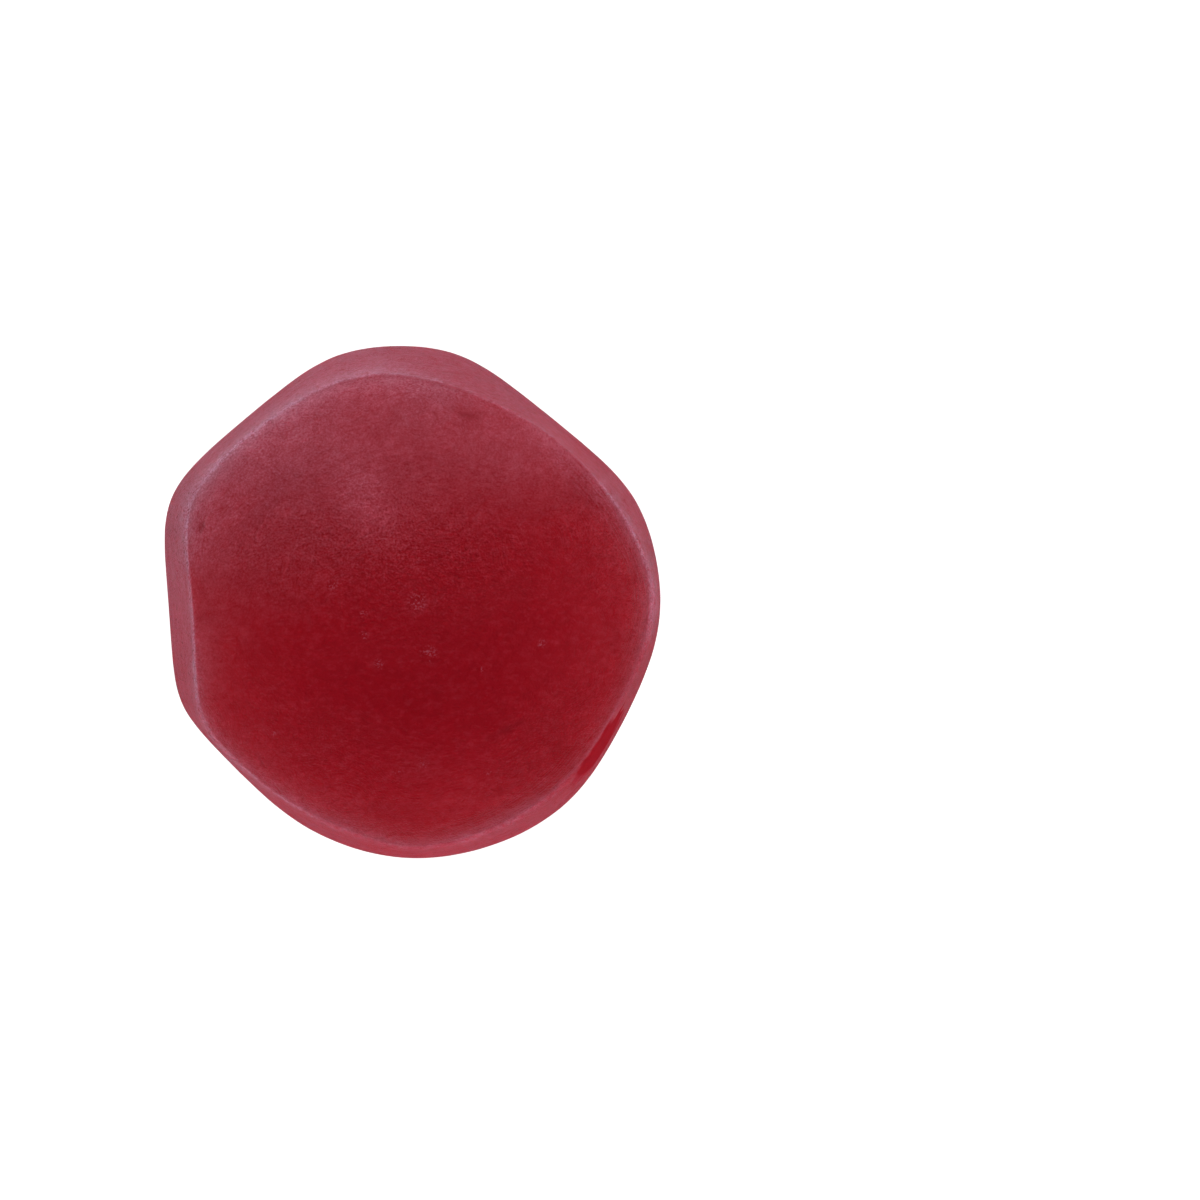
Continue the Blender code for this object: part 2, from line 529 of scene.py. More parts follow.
def noise(tree, place, scale, detail=2.0, roughness=0.5):
    """Cloudy noise from 0 to 1, with about this many clouds a unit of length."""
    inputs = {"Vector": place, "Scale": scale, "Detail": detail, "Roughness": roughness}
    return Term(tree, add_node(tree, "ShaderNodeTexNoise", inputs).outputs["Fac"])


def rule_group(name, kind, rule, outputs):
    """A node group that holds one rule: a function from terms to terms. Its inputs are named
    after the rule's arguments."""
    group = bpy.data.node_groups.new(name, kind)
    titles = [argument.replace("_", " ").title() for argument in signature(rule).parameters]
    for title in titles:
        group.interface.new_socket(title, in_out="INPUT", socket_type="NodeSocketFloat")
    for title in outputs:
        group.interface.new_socket(title, in_out="OUTPUT", socket_type="NodeSocketFloat")
    entry = group.nodes.new("NodeGroupInput")
    results = rule(*[Term(group, entry.outputs[title]) for title in titles])
    leave = group.nodes.new("NodeGroupOutput")
    for title, result in zip(outputs, results):
        feed(leave.inputs[title], result)
    return group


def apply_rule(tree, group, *values):
    """Places a rule's group in a tree, fed with these values, and gives its results."""
    kind = "GeometryNodeGroup" if tree.bl_idname == "GeometryNodeTree" else "ShaderNodeGroup"
    node = add_node(tree, kind, node_tree=group)
    for slot, value in zip(node.inputs, values):
        feed(slot, value)
    results = [Term(tree, socket) for socket in node.outputs]
    return results[0] if len(results) == 1 else results


# ------------------------------------------------------------------- the rules of the form


def oval_rule(azimuth, radius, across, along, stretch, stretch_azimuth):
    """How far a free oval reaches from the axis in one direction."""
    shift = across * azimuth.cosine() + along * azimuth.sine()
    reach = shift + (radius.squared() - across.squared() - along.squared() + shift.squared()).root()
    return [reach + stretch * ((azimuth - stretch_azimuth) * 2).cosine()]


def press_rule(azimuth, free_reach, blend, pull, press_azimuth, distance, neighbour):
    """Adds one neighbour's pull to the sum that joins the flats smoothly."""
    turn = azimuth - press_azimuth
    middle = distance + neighbour
    miss = middle * turn.sine()
    met = middle * turn.cosine() - (neighbour.squared() - miss.squared()).at_least(0).root()
    faces = turn.cosine().above(0) * neighbour.above(miss.size())
    return [pull + faces * ((free_reach - met) / blend).at_most(STRONGEST_PULL).exponential()]


def dome_rule(azimuth, reach, height, foot, radius, across, fullness):
    """Height of the dome over a point, and the point's share of the dome's radius."""
    out_x = reach * azimuth.cosine() - across
    out_y = reach * azimuth.sine()
    share = (out_x.squared() + out_y.squared()).root() / radius
    return [foot + (height - foot) * (1 - share**fullness).at_least(0).root(), share]


def wall_rule(height, belly, belly_height, shoulder, shoulder_height, lean):
    """The wall's reach at a height between the belly and the shoulder."""
    climb = (height - belly_height) / (shoulder_height - belly_height)
    return [belly - (belly - shoulder) * climb**lean]


def stretch_rule(azimuth, middle, half_width, fade):
    """1 on a stretch of the outline, and 0 away from it."""
    return [1 - azimuth.turn_from(middle).rise(half_width - fade / 2, half_width + fade / 2)]


def spot_rule(across, along, middle_across, middle_along, length, width, heading):
    """1 in the middle of a small oval on the dome, falling to 0 at its rim."""
    x = across - middle_across
    y = along - middle_along
    lengthways = (x * heading.cosine() + y * heading.sine()) / length
    sideways = (y * heading.cosine() - x * heading.sine()) / width
    return [1 - (lengthways.squared() + sideways.squared()).root().rise(0, 1)]


def sockets_from(tree, settings):
    """Gives a tree one named input for each setting, and the inputs' identifiers."""
    kinds = {"FLOAT": "NodeSocketFloat", "INT": "NodeSocketInt"}
    identifiers = {}
    for setting in settings.bl_rna.properties:
        if setting.identifier in ("rna_type", "name"):
            continue
        socket = tree.interface.new_socket(setting.name, in_out="INPUT", socket_type=kinds[setting.type])
        if setting.unit == "LENGTH":
            socket.subtype = "DISTANCE"
        socket.default_value = setting.default
        identifiers[setting.identifier] = socket.identifier
    return identifiers


class Recipe:
    """A Geometry Nodes tree under construction, and the geometry that it has made so far."""

    def __init__(self, name, *settings_groups):
        self.tree = bpy.data.node_groups.new(name, "GeometryNodeTree")
        self.tree.is_modifier = True
        self.values = {}
        names = {}
        for settings in settings_groups:
            for setting, identifier in sockets_from(self.tree, settings).items():
                self.values[identifier] = getattr(settings, setting)
                names[setting] = identifier
        self.entry = self.tree.nodes.new("NodeGroupInput")
        by_identifier = {socket.identifier: socket for socket in self.entry.outputs}
        self.sizes = {name: Term(self.tree, by_identifier[key]) for name, key in names.items()}
        self.geometry = None

    def step(self, kind, inputs=None, **settings):
        """Passes the geometry on through one node."""
        node = add_node(self.tree, kind, inputs, **settings)
        if self.geometry is not None:
            feed(node.inputs[0], self.geometry)
        self.geometry = node.outputs[0]
        return node

    def store(self, name, value):
        """Keeps a number on the geometry as an attribute."""
        self.step("GeometryNodeStoreNamedAttribute", {"Name": name, "Value": value}, data_type="FLOAT")

    def stored(self, name):
        """Reads a number that store kept."""
        node = add_node(self.tree, "GeometryNodeInputNamedAttribute", {"Name": name}, data_type="FLOAT")
        return Term(self.tree, node.outputs["Attribute"])

    def finish(self, material):
        """Ends the tree with realized geometry of one material."""
        self.step("GeometryNodeRealizeInstances")
        self.step("GeometryNodeSetMaterial", {"Material": material})
        self.tree.interface.new_socket("Geometry", in_out="OUTPUT", socket_type="NodeSocketGeometry")
        leave = self.tree.nodes.new("NodeGroupOutput")
        feed(leave.inputs[0], self.geometry)

    def bake(self, name):
        """Runs the tree on an empty mesh, and gives the result as a plain object."""
        carrier = bpy.data.objects.new(name, bpy.data.meshes.new(name))
        bpy.context.scene.collection.objects.link(carrier)
        modifier = carrier.modifiers.new(self.tree.name, "NODES")
        modifier.node_group = self.tree
        for identifier, value in self.values.items():
            modifier[identifier] = value
        graph = bpy.context.evaluated_depsgraph_get()
        mesh = bpy.data.meshes.new_from_object(carrier.evaluated_get(graph), depsgraph=graph)
        if not mesh.polygons:
            raise RuntimeError(f"{self.tree.name} made no faces")
        carrier.modifiers.remove(modifier)
        empty, carrier.data = carrier.data, mesh
        bpy.data.meshes.remove(empty)
        mesh.name = name
        return carrier


def joined_flats(recipe, azimuth, free_reach, level, press_group):
    """The outline at one level, with the neighbours' flats joined smoothly."""
    pull = 1.0
    for press in PRESSES:
        distance = getattr(press, level)
        if distance is not None:
            sizes = (math.radians(press.azimuth), distance * MM, press.neighbour * MM)
            pull = apply_rule(
                recipe.tree, press_group, azimuth, free_reach, recipe.sizes["flat_blend"], pull, *sizes
            )
    return free_reach - recipe.sizes["flat_blend"] * pull.natural_log()


def outline(recipe, azimuth, level, oval, groups):
    """The pressed outline at the belly or at the shoulder."""
    radius = recipe.sizes[f"{level}_radius"]
    place = (oval.across * MM, oval.along * MM, oval.stretch * MM, math.radians(oval.stretch_azimuth))
    free_reach = apply_rule(recipe.tree, groups["oval"], azimuth, radius, *place)
    return joined_flats(recipe, azimuth, free_reach, level, groups["press"])


def bezier(start, corner, end, share):
    """A point of the curve that rounds a corner, for each of its two parts."""
    rest = 1 - share
    return [
        rest * rest * a + 2 * share * rest * b + share * share * c for a, b, c in zip(start, corner, end)
    ]


def section(recipe, azimuth, ring_share, groups):
    """Reach and height of the skin, and its distance past the crease, negative on the dome."""
    tree, sizes = recipe.tree, recipe.sizes
    belly = outline(recipe, azimuth, "belly", BELLY, groups)
    shoulder = outline(recipe, azimuth, "shoulder", SHOULDER, groups)

    def dome_at(reach):
        dome_sizes = ("height", "dome_foot", "dome_radius", "dome_across", "dome_fullness")
        return apply_rule(tree, groups["dome"], azimuth, reach, *[sizes[name] for name in dome_sizes])

    def wall_at(height):
        return apply_rule(
            tree, groups["wall"], height, belly, sizes["belly_height"], shoulder, shoulder_height,
            sizes["wall_lean"],
        )

    shoulder_height, share = dome_at(shoulder)
    cut = sizes["dome_radius"] * (1 - share)
    ease = cut.rise(sizes["shallow_cut"], sizes["deep_cut"])
    crease = sizes["soft_crease"].towards(sizes["sharp_crease"], ease)
    dome_end = shoulder - crease
    wall_top = shoulder_height - crease

    starts = {}
    shares = {}
    begun = 0.0
    for part, width in RING_SHARES.items():
        starts[part] = begun
        shares[part] = ((ring_share - begun) / width).at_least(0).at_most(1)
        begun += width

    dome_reach = dome_end * shares["dome"] ** DOME_CROWDING
    wall_height = wall_top.towards(sizes["belly_height"], shares["wall"])
    angle = shares["foot"] * (math.pi / 2)
    power = 2 / sizes["foot_fullness"]
    foot_reach = belly - sizes["foot_inset"] * (1 - angle.cosine().at_least(0) ** power)
    foot_height = sizes["belly_height"] * (1 - angle.sine() ** power)
    foot_end = belly - sizes["foot_inset"]
    hollow_rim = foot_end * sizes["hollow_share"]
    left = 1 - shares["hollow"]
    places = {
        "dome": (dome_reach, dome_at(dome_reach)[0]),
        "crease": bezier(
            (dome_end, dome_at(dome_end)[0]),
            (shoulder, shoulder_height),
            (wall_at(wall_top), wall_top),
            shares["crease"],
        ),
        "wall": (wall_at(wall_height), wall_height),
        "foot": (foot_reach, foot_height),
        "rim": (foot_end.towards(hollow_rim, shares["rim"]), 0.0),
        "hollow": (hollow_rim * left, sizes["hollow_depth"] * (1 + (left * math.pi).cosine()) / 2),
    }
    reach, height = places["dome"]
    for part in list(RING_SHARES)[1:]:
        entered = ring_share.above(starts[part])
        reach = reach.towards(places[part][0], entered)
        height = height.towards(places[part][1], entered)
    past_crease = (reach - shoulder) + (shoulder_height - height)
    beneath = ring_share.above(starts["rim"])
    return reach, height, past_crease + beneath * ((foot_end - reach) * 2 + height)


def form_groups():
    """The groups that hold the rules of the form."""
    rules = {
        "oval": ("Free Oval", oval_rule, ("Reach",)),
        "press": ("Neighbour Press", press_rule, ("Pull",)),
        "dome": ("Dome", dome_rule, ("Height", "Share")),
        "wall": ("Leaning Wall", wall_rule, ("Reach",)),
        "stretch": ("Stretch of Outline", stretch_rule, ("Mask",)),
        "spot": ("Oval Spot", spot_rule, ("Mask",)),
    }
    return {
        key: rule_group(name, "GeometryNodeTree", rule, outputs)
        for key, (name, rule, outputs) in rules.items()
    }


def shape_ball(recipe, groups):
    """Makes a ball and moves its points to the gummy's surface."""
    tree = recipe.tree
    segments, rings = recipe.sizes["segments"], recipe.sizes["rings"]
    recipe.step("GeometryNodeMeshUVSphere", {"Segments": segments, "Rings": rings, "Radius": 1.0})
    x, y, z = separate(tree, tree.nodes.new("GeometryNodeInputPosition").outputs[0])
    azimuth = calculate(tree, "ARCTAN2", y, x)
    ring_share = z.arc_cosine() / math.pi
    reach, height, past_crease = section(recipe, azimuth, ring_share, groups)
    recipe.store("past_crease", past_crease)
    place = combine(tree, reach * azimuth.cosine(), reach * azimuth.sine(), height)
    recipe.step("GeometryNodeSetPosition", {"Position": place})


def stretches(recipe, azimuth, table, group):
    """The masks of several stretches of the outline, joined."""
    total = 0.0
    for stretch in table:
        angles = [math.radians(angle) for angle in (stretch.azimuth, stretch.half_width, stretch.fade)]
        total = apply_rule(recipe.tree, group, azimuth, *angles) * stretch.strength + total
    return total.at_most(1)


def oval_mask(recipe, place, oval, group):
    """The mask of one patch or dent."""
    sizes = (oval.across * MM, oval.along * MM, oval.length * MM, oval.width * MM)
    return apply_rule(recipe.tree, group, *place, *sizes, math.radians(oval.heading))


def patches(recipe, place, table, group):
    """The masks of several soft ovals on the dome, added up."""
    total = 0.0
    for patch in table:
        total = oval_mask(recipe, place, patch, group) * patch.strength + total
    return total


def streaks(tree, azimuth, away, width, length):
    """Broken lines along the shoulder, from 0 to 1. Lengths are in millimetres."""
    place = combine(tree, azimuth * (OUTLINE_REACH / length), away / width, 0.0)
    return noise(tree, place, 1.0)


def dust_layers(recipe, azimuth, past_crease, place, groups):
    """The share of the jelly that the dust colour hides, before grain and pores break it up: dust, and a
    painted sheen on the side of the dome that faces the key light.
    """
    away = past_crease * PER_MM
    around = groups["stretch"]

    def near_crease(table, reach):
        """Dust that thins out to both sides of the crease."""
        return stretches(recipe, azimuth, table, around) * (away.size() / -reach).exponential()

    evened = away.rise(*EVEN_BAND) * EVENED_SHARE
    wall = stretches(recipe, azimuth, DUSTY_WALL, around).towards(EVEN_DUST, evened)
    wall = (wall + WALL_DUST) * away.rise(*WALL_DUST_BAND)
    shoulder = near_crease(DUSTY_SHOULDER, SHOULDER_REACH)
    edge = near_crease(DUSTY_EDGE, EDGE_REACH)
    ridge = stretches(recipe, azimuth, DUSTY_RIDGES, around) * bell(away, RIDGE_DISTANCE, RIDGE_WIDTH)
    doubled = stretches(recipe, azimuth, DOUBLED_RIDGES, around)
    ridge = ridge + doubled * bell(away, DOUBLED_DISTANCE, DOUBLED_WIDTH)
    # A painted sheen in the dust colour, on the side of the dome that faces the key light.
    turn = math.radians(VEIL_AZIMUTH)
    aside = (place[0] * math.cos(turn) + place[1] * math.sin(turn)) * PER_MM
    dust = wall + shoulder + edge + ridge + aside.rise(VEIL_START, VEIL_END) * VEIL_STRENGTH
    on_dome = 1 - away.rise(*PATCH_END_BAND)
    return dust + patches(recipe, place, SOFT_PATCHES, groups["spot"]) * on_dome


def bare_facet(tree, azimuth, past_crease, place):
    """1 on the facet that has lost its dust, with a ragged border."""
    along_facet = (azimuth - math.radians(BARE_AZIMUTH)) / math.radians(BARE_HALF_WIDTH)
    down_facet = (past_crease - BARE_START * MM) / (BARE_HALF_HEIGHT * MM) - 1
    off_facet = (along_facet.squared() + down_facet.squared().squared()).root()
    ragged = (noise(tree, place, BARE_CLOUDS_PER_MM) - 0.5) * BARE_RAGGEDNESS
    border = (1 - along_facet).at_least(0) * BARE_END_BORDER + BARE_BORDER
    border = border + down_facet.at_least(0).at_most(1) * BARE_FOOT_BORDER
    return 1 - (off_facet + ragged).rise(1 - border, 1)


def work_skin(recipe, groups):
    """Works relief into the skin, always inwards, and stores the masks that its material reads."""
    tree, sizes = recipe.tree, recipe.sizes
    position = tree.nodes.new("GeometryNodeInputPosition").outputs[0]
    x, y, z = separate(tree, position)
    azimuth = calculate(tree, "ARCTAN2", y, x)
    past_crease = recipe.stored("past_crease")
    drift = combine(tree, sizes["seed"], 0.0, 0.0)
    place = shifted(tree, scaled(tree, position, PER_MM), drift)
    standing = z.rise(*(limit * MM for limit in RELIEF_BAND))

    lumps = noise(tree, place, MM / sizes["lump_size"], detail=1.0) * sizes["lump_depth"]
    lumps = lumps * (past_crease.rise(LUMP_FADE * MM, 0) * (1 - LUMP_SHARE_LEFT) + LUMP_SHARE_LEFT)
    dimples = noise(tree, place, MM / sizes["dimple_size"]) * sizes["dimple_depth"]
    band_low, band_high = (limit * MM for limit in WRINKLE_BAND)
    band = past_crease.rise(band_low, band_low + WRINKLE_FADE * MM) * (
        1 - past_crease.rise(band_high - WRINKLE_FADE * MM, band_high)
    )
    wrinkled = stretches(recipe, azimuth, WRINKLED, groups["stretch"]) * band
    spacing = sizes["wrinkle_spacing"] * PER_MM
    wrinkles = streaks(tree, azimuth, past_crease * PER_MM, spacing, WRINKLE_LENGTH) * wrinkled
    depth = lumps + dimples + wrinkles * sizes["wrinkle_depth"]

    on_dome = z.above(sizes["belly_height"])
    dented = 0.0
    for dent in DENTS:
        mask = oval_mask(recipe, (x, y), dent, groups["spot"]) * on_dome
        depth = depth + mask * (dent.depth * MM)
        dented = mask + dented
    fold = bell(past_crease, 0.0, FOLD_WIDTH * MM)
    dented = stretches(recipe, azimuth, FOLDED, groups["stretch"]) * fold + dented
    spots = [Patch(spot.across, spot.along, spot.radius, spot.radius, 0, 1) for spot in PALE_SPOTS]

    recipe.store("wrinkled", wrinkled)
    # Dust, with a painted sheen where the dome faces the key light.
    recipe.store("haze", dust_layers(recipe, azimuth, past_crease, (x, y), groups))
    recipe.store("bare", bare_facet(tree, azimuth, past_crease, place))
    recipe.store("leathery", patches(recipe, (x, y), LEATHERY, groups["spot"]) * on_dome)
    # Dents and folds keep dust off, and the material paints shade into them.
    recipe.store("dented", dented)
    # Patches of painted light and shade on the dome, with the jelly's own tone.
    recipe.store("toned", patches(recipe, (x, y), TONED, groups["spot"]) * on_dome)
    below_crease = past_crease.above(PORES_FROM * MM)
    recipe.store("pitted", stretches(recipe, azimuth, PITTED, groups["stretch"]) * below_crease)
    recipe.store("spotted", patches(recipe, (x, y), spots, groups["spot"]) * on_dome)
    normal = tree.nodes.new("GeometryNodeInputNormal").outputs[0]
    recipe.step("GeometryNodeSetPosition", {"Offset": scaled(tree, normal, depth * standing * -1)})
    recipe.step("GeometryNodeSetShadeSmooth", {"Shade Smooth": True})


# --------------------------------------------------------------------------- the materials


# Grain is taller than it is wide on the steep wall.
UPRIGHT_STRETCH = 1.8
# Sizes in millimetres of the grain, of the leathery lumps and of the wrinkles' fine lines.
GRAIN_SIZE = 0.06
LEATHER_SIZE = 0.2
LINE_WIDTH = 0.1
LINE_LENGTH = 1.0
# The lumps are this much wider than they are deep, and fibres this much longer than wide.
LEATHER_SQUEEZE = 1.5
FIBRE_STRETCH = 2.4
# The fibres' heading wanders by this angle, and turns by a right angle between these two
# places along Y.
HEADING_CLOUDS_PER_MM = 0.6
HEADING_SWING = 1.8
HEADING_BAND = (4.5, 2.5)


def skin_grain_rule(x, y, z, grain_size, leather_size):
    """Fine grain, soft leathery lumps and brushed fibres, each from 0 to 1."""
    tree = x.tree

    def fitted(across, along, size, stretch=1.0):
        return combine(tree, across / size, along / (size * stretch), z / (size * UPRIGHT_STRETCH))

    wander = noise(tree, combine(tree, x, y, z), HEADING_CLOUDS_PER_MM, detail=0.0) - 0.5
    turn = wander * HEADING_SWING + y.rise(*HEADING_BAND) * (math.pi / 2)
    grain = noise(tree, fitted(x, y, grain_size), 1.0, detail=1.0, roughness=0.6)
    leather_place = fitted(x, y * LEATHER_SQUEEZE, leather_size)
    leather = noise(tree, leather_place, 1.0, roughness=0.6)
    across = x * turn.cosine() + y * turn.sine()
    along = y * turn.cosine() - x * turn.sine()
    fibres = noise(tree, fitted(across, along, grain_size, FIBRE_STRETCH), 1.0, detail=1.0)
    return [grain, leather, fibres]


def skin_grain_group():
    """The grain of the skin, from coordinates and sizes in millimetres."""
    return rule_group("Skin Grain", "ShaderNodeTree", skin_grain_rule, ("Grain", "Leather", "Fibres"))


def new_material(name):
    """A material with a Principled shader, and that shader."""
    material = bpy.data.materials.new(name)
    material.use_nodes = True
    return material, material.node_tree.nodes["Principled BSDF"]


def place_in_mm(tree):
    """The object's own coordinates in millimetres, as a vector and as three terms."""
    source = tree.nodes.new("ShaderNodeTexCoord").outputs["Object"]
    place = scaled(tree, source, PER_MM)
    return place, separate(tree, place)


def attribute(tree, name):
    """A number that the mesh carries."""
    return Term(tree, add_node(tree, "ShaderNodeAttribute", attribute_name=name).outputs["Fac"])


def mixed(tree, share, first, second):
    """A colour between two others."""
    node = add_node(tree, "ShaderNodeMix", {0: share, 6: first, 7: second}, data_type="RGBA")
    return node.outputs[2]


# The masks that the mesh carries for the material.
MASKS = ("haze", "bare", "wrinkled", "leathery", "dented", "toned", "pitted", "spotted")

# How strongly a pattern of the skin shows: everywhere, and more or less under each mask.
Strength = namedtuple("Strength", "even haze leathery wall pitted", defaults=(0.0,) * 5)
FINE_GRAIN = {"grain": Strength(1.9), "fibres": Strength(1.2)}
HAZE_BREAKS = {
    "clouds": Strength(0.35),
    "mottle": Strength(0.4),
    "fine": Strength(0.7),
    "leather": Strength(wall=1.5),
}
LOOSE_DUST = {
    "lines": Strength(0.2),
    "crust": Strength(0.2),
    "flecks": Strength(0.015),
    "leather": Strength(0.095),
    "grain": Strength(0.02, leathery=0.1, wall=0.05, pitted=0.1),
}
# Painted light and shade of the relief: the jelly is drawn lighter and darker with the grain, the leathery
# lumps and the wrinkles' lines, and darker in pores. The mottle is the jelly's own tone.
JELLY_SHADES = {
    "fine": Strength(0.15, haze=0.4, leathery=0.2),
    "mottle": Strength(0.25),
    "lines": Strength(0.2),
    "pores": Strength(-0.35),
    "leather": Strength(0.3, leathery=-0.2),
}
# Depths in millimetres.
FINE_RELIEF = {
    "grain_height": Strength(0.02, leathery=0.01),
    "leather_height": Strength(0.035, leathery=0.04),
    "fibre_height": Strength(0.015, leathery=0.025),
}
SHARP_RELIEF = {"lines": Strength(0.05), "pores": Strength(-0.02)}

# Where the wall begins past the crease, and which part of a pattern's range becomes crust,
# flecks and pores.
WALL_BAND = (-0.3, 0.4)
CRUST_BAND = (-0.1, 0.5)
FLECK_BAND = (0.0, 0.3)
PORE_BAND = (0.6, 0.68)
# In the crust the mottle counts this many times as much as the fine grain.
CRUST_MOTTLE = 2
CLOUDS_PER_MM = 0.55
MOTTLE_PER_MM = 2.2

# The share of the dust that pores and dents keep off.
CLEAR_PORES = 0.8
CLEAR_DENTS = 0.5
# How much painted shade darkens the dents and folds, how much darker the bare facet is, and how much
# smoother and duller the facet.
DARK_DENTS = 0.2
DARK_FACET = 0.08
SMOOTH_FACET = 0.7
DULL_FACET = 0.55
GRAIN_ROUGHNESS = 0.15


def summed(skin, table):
    """Adds up patterns of the skin, each at its strength."""
    total = 0.0
    for pattern, strength in table.items():
        weight = strength.even
        for mask, extra in strength._asdict().items():
            if mask != "even" and extra:
                weight = skin[mask] * extra + weight
        total = skin[pattern] * weight + total
    return total


def skin_patterns(tree):
    """The masks and patterns of the skin, by name. Most patterns swing about 0."""
    place, (x, y, z) = place_in_mm(tree)
    azimuth = calculate(tree, "ARCTAN2", y, x)
    past_crease = attribute(tree, "past_crease") * PER_MM
    grain, leather, fibres = apply_rule(tree, skin_grain_group(), x, y, z, GRAIN_SIZE, LEATHER_SIZE)
    skin = {name: attribute(tree, name) for name in MASKS}
    skin["dented"] = skin["dented"].at_most(1)
    skin["wall"] = past_crease.rise(*WALL_BAND)
    skin.update(grain_height=grain, leather_height=leather, fibre_height=fibres)
    skin.update(grain=grain - 0.5, leather=leather - 0.5, fibres=fibres - 0.5)
    skin["fine"] = summed(skin, FINE_GRAIN)
    skin["clouds"] = noise(tree, place, CLOUDS_PER_MM, detail=3.0, roughness=0.55) - 0.5
    skin["mottle"] = noise(tree, place, MOTTLE_PER_MM, detail=3.0, roughness=0.6) - 0.5
    lines = streaks(tree, azimuth, past_crease, LINE_WIDTH, LINE_LENGTH) - 0.5
    skin["lines"] = lines * skin["wrinkled"]
    skin["crust"] = skin["spotted"] * (skin["fine"] + skin["mottle"] * CRUST_MOTTLE).rise(*CRUST_BAND)
    skin["flecks"] = skin["mottle"].rise(*FLECK_BAND)
    skin["pores"] = leather.rise(*PORE_BAND) * skin["pitted"]
    return skin


def dust_share(skin):
    """The share of the jelly that the dust colour hides, from 0 to 1: dust, and painted sheen where the
    dome faces the key light.
    """
    dust = skin["haze"] * (summed(skin, HAZE_BREAKS) + 1) + summed(skin, LOOSE_DUST)
    dust = dust * (1 - skin["pores"] * CLEAR_PORES) * (1 - skin["dented"] * CLEAR_DENTS)
    return (dust * (1 - skin["bare"])).at_least(0).at_most(1)


def skin_shade(skin):
    """How bright the skin is, where 1 leaves its colour as it is: the jelly's own tone, and painted light
    and shade from the relief, from patches where the lamps fall or miss, and in dents and folds.
    """
    shade = (summed(skin, JELLY_SHADES) + 1) * (1 + skin["toned"])
    # Painted shade in the dents and folds.
    return shade * (1 - skin["dented"] * DARK_DENTS) * (1 - skin["bare"] * DARK_FACET)


def jelly_skin(look):
    """Dark red jelly that shows through a clouded, dusty skin, with painted light and shade in its colour:
    a sheen where it faces the key light, a glow on the wall for light through the jelly, and the shading of
    its relief, dents and folds.
    """
    material, shader = new_material("jelly_skin")
    tree = material.node_tree
    skin = skin_patterns(tree)
    bare = skin["bare"]
    # On the wall the jelly is painted a brighter red: a painted glow for light that comes through it.
    jelly = mixed(tree, skin["wall"] * (1 - bare), tuple(look.jelly), tuple(look.thin_jelly))
    dusty = mixed(tree, dust_share(skin), jelly, tuple(look.dust))
    feed(shader.inputs["Base Color"], scaled(tree, dusty, skin_shade(skin)))
    roughness = look.roughness + skin["grain"] * GRAIN_ROUGHNESS + bare * DULL_FACET
    feed(shader.inputs["Roughness"], roughness)
    finish = {
        "Specular IOR Level": 0.12,
        "Specular Tint": (1.0, 0.8, 1.0, 1.0),
        "IOR": 1.45,
        "Subsurface Weight": 0.6,
        "Subsurface Radius": (1.0, 0.12, 0.15),
        "Subsurface Scale": look.glow_depth,
    }
    for name, value in finish.items():
        shader.inputs[name].default_value = value
    height = summed(skin, FINE_RELIEF) * (1 - bare * SMOOTH_FACET) + summed(skin, SHARP_RELIEF)
    bump = add_node(tree, "ShaderNodeBump", {"Height": height, "Strength": 1.0, "Distance": MM})
    feed(shader.inputs["Normal"], bump.outputs["Normal"])
    return material


# ---------------------------------------------------------------------------- the operators


class GUMMY_OT_make_gummy(Operator):
    """Make the gummy, in place of its plain solid"""

    bl_idname = "gummy.make_gummy"
    bl_label = "Make Gummy"
    bl_options = {"REGISTER", "UNDO"}

    def execute(self, context):
        settings = context.scene.gummy
        recipe = Recipe("Gummy Form", settings.shape, settings.skin)
        groups = form_groups()
        shape_ball(recipe, groups)
        work_skin(recipe, groups)
        recipe.finish(jelly_skin(settings.look))
        gummy = recipe.bake("gummy_jelly")
        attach(gummy, BODY)
        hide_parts(NODE)
        return {"FINISHED"}


def floor_material():
    """A white table that shows from above only, burnt out to pure white for the camera."""
    material, shader = new_material("pale_floor")
    tree = material.node_tree
    shader.inputs["Base Color"].default_value = (0.3, 0.3, 0.3, 1.0)
    shader.inputs["Roughness"].default_value = 1.0
    shader.inputs["Specular IOR Level"].default_value = 0.0
    shader.inputs["Emission Color"].default_value = (1.0, 1.0, 1.0, 1.0)
    seen = tree.nodes.new("ShaderNodeLightPath").outputs["Is Camera Ray"]
    feed(shader.inputs["Emission Strength"], seen)
    clear = tree.nodes.new("ShaderNodeBsdfTransparent")
    below = tree.nodes.new("ShaderNodeNewGeometry").outputs["Backfacing"]
    mix = add_node(tree, "ShaderNodeMixShader", {0: below, 1: shader.outputs[0], 2: clear.outputs[0]})
    feed(tree.nodes["Material Output"].inputs["Surface"], mix.outputs[0])
    return material


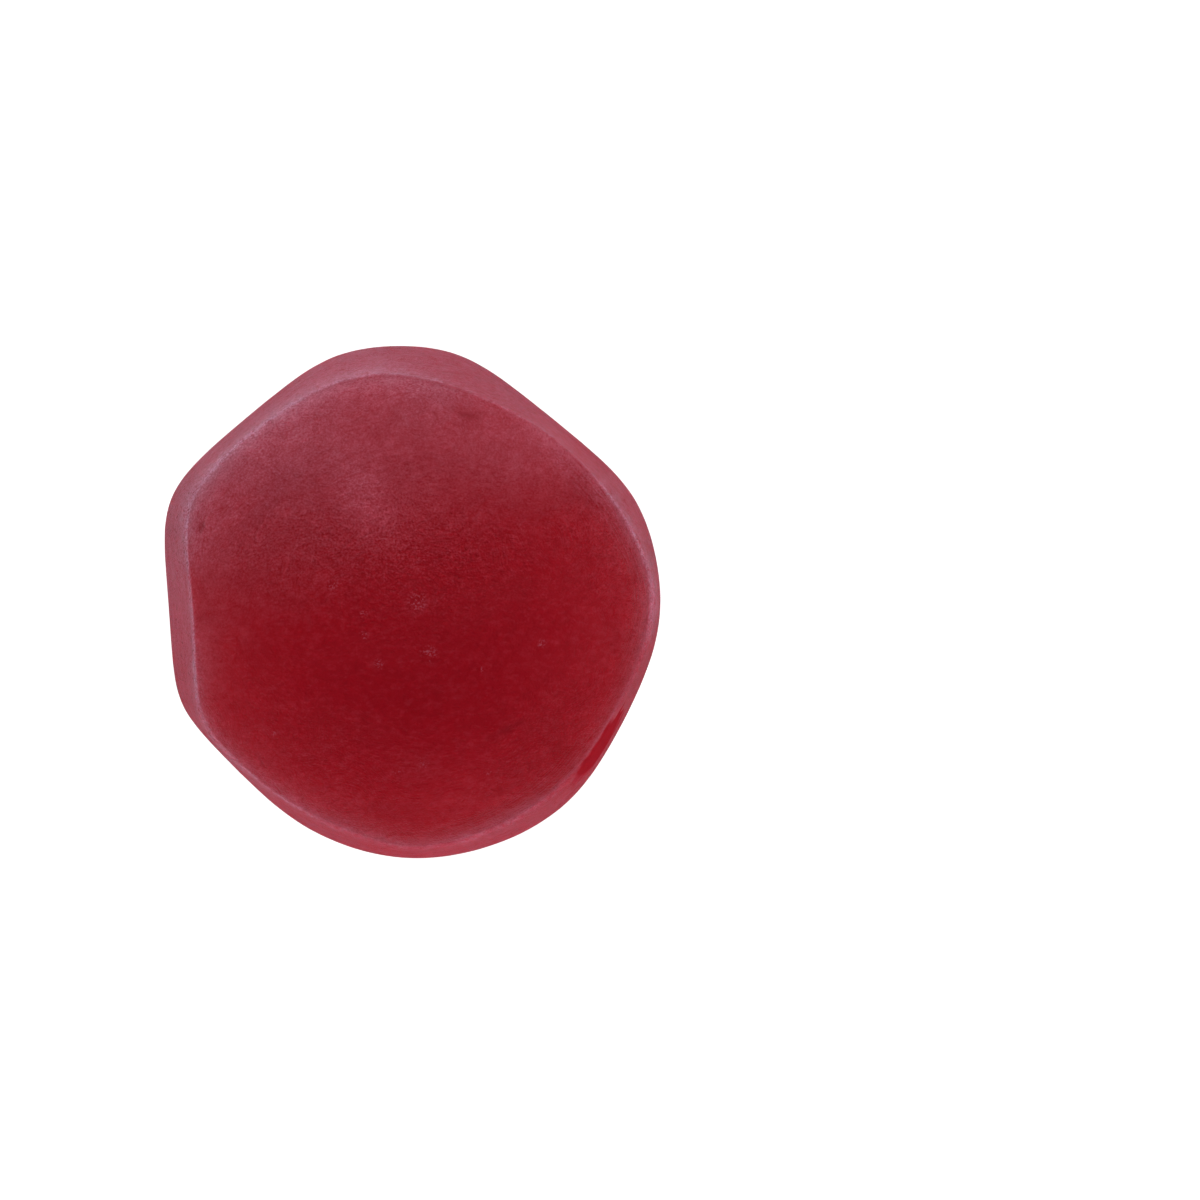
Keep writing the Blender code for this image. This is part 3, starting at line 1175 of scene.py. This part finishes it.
def add_floor(size):
    """A square floor that the gummy stands on."""
    half = size / 2
    mesh = bpy.data.meshes.new("floor")
    corners = [(-half, -half, 0), (half, -half, 0), (half, half, 0), (-half, half, 0)]
    mesh.from_pydata(corners, [], [(0, 1, 2, 3)])
    mesh.materials.append(floor_material())
    floor = bpy.data.objects.new("floor", mesh)
    bpy.context.scene.collection.objects.link(floor)
    floor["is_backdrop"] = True


def add_softbox(name, azimuth, elevation, side, watts, glossy=True):
    """A square light that faces the gummy. One that is not glossy leaves no sheen."""
    light = bpy.data.lights.new(name, "AREA")
    light.shape = "SQUARE"
    light.size = side
    light.energy = watts
    lamp = bpy.data.objects.new(name, light)
    level = math.cos(math.radians(elevation))
    turn = math.radians(azimuth)
    away = Vector((math.cos(turn) * level, math.sin(turn) * level, math.sin(math.radians(elevation))))
    lamp.location = away * SOFTBOX_DISTANCE
    lamp.rotation_euler = away.to_track_quat("Z", "Y").to_euler()
    lamp.visible_camera = False
    lamp.visible_glossy = glossy
    bpy.context.scene.collection.objects.link(lamp)


def add_tent(walls, top):
    """A light tent with bright walls and a dark top, which the camera sees as plain white."""
    world = bpy.data.worlds.new("tent")
    world.use_nodes = True
    tree = world.node_tree
    direction = tree.nodes.new("ShaderNodeTexCoord").outputs["Generated"]
    up = separate(tree, direction)[2]
    glow = walls + up.rise(math.sin(TENT_FADE_START), math.sin(TENT_FADE_END)) * (top - walls)
    seen = Term(tree, tree.nodes.new("ShaderNodeLightPath").outputs["Is Camera Ray"])
    feed(tree.nodes["Background"].inputs["Strength"], glow.towards(1.0, seen))
    tree.nodes["Background"].inputs["Color"].default_value = (1.0, 1.0, 1.0, 1.0)
    bpy.context.scene.world = world


def add_camera(distance, belly_height):
    """A camera that looks straight down."""
    data = bpy.data.cameras.new("camera")
    data.lens = data.sensor_width * distance / (VIEW_WIDTH * MM)
    data.clip_start = distance / 100
    data.clip_end = distance * 10
    camera = bpy.data.objects.new("camera", data)
    camera.location = (VIEW_ACROSS * MM, VIEW_ALONG * MM, belly_height + distance)
    bpy.context.scene.collection.objects.link(camera)
    bpy.context.scene.camera = camera


class GUMMY_OT_set_stage(Operator):
    """Set the floor, the lights, the backdrop and the camera"""

    bl_idname = "gummy.set_stage"
    bl_label = "Set Stage"
    bl_options = {"REGISTER", "UNDO"}

    def execute(self, context):
        settings = context.scene.gummy
        stage = settings.stage
        add_floor(stage.floor_size)
        low = {"elevation": 9, "side": 0.3, "glossy": False}
        add_softbox("key", azimuth=92, elevation=56, side=0.8, watts=stage.key_watts)
        add_softbox("fill", azimuth=272, watts=stage.fill_watts, **low)
        add_softbox("side", azimuth=8, watts=stage.side_watts, **low)
        add_tent(stage.tent_glow, stage.top_glow)
        add_camera(stage.camera_distance, settings.shape.belly_height)
        context.scene.view_settings.view_transform = "Standard"
        return {"FINISHED"}


OPERATORS = (GUMMY_OT_make_gummy, GUMMY_OT_set_stage)


class GUMMY_PT_sidebar(Panel):
    """The gummy's settings and the buttons that make it"""

    bl_idname = "GUMMY_PT_sidebar"
    bl_label = "Fruit Gummy"
    bl_space_type = "VIEW_3D"
    bl_region_type = "UI"
    bl_category = "Gummy"

    def draw(self, context):
        settings = context.scene.gummy
        for operator in OPERATORS:
            self.layout.operator(operator.bl_idname)
        for part in (settings.shape, settings.skin, settings.look, settings.stage):
            box = self.layout.box()
            for setting in part.bl_rna.properties:
                if setting.identifier not in ("rna_type", "name"):
                    box.prop(part, setting.identifier)


CLASSES = (
    GummyShape, GummySkin, GummyLook, GummyStage, GummySettings, *OPERATORS, GUMMY_PT_sidebar
)


def register():
    for made in CLASSES:
        bpy.utils.register_class(made)
    bpy.types.Scene.gummy = PointerProperty(type=GummySettings)


def unregister():
    del bpy.types.Scene.gummy
    for made in reversed(CLASSES):
        bpy.utils.unregister_class(made)


def main():
    register()
    bpy.ops.gummy.make_gummy()
    bpy.ops.gummy.set_stage()
    low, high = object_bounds()
    sizes = {"cad": [list(CAD_LOW), list(CAD_HIGH)], "visual": [list(low), list(high)]}


if __name__ == "__main__":
    main()
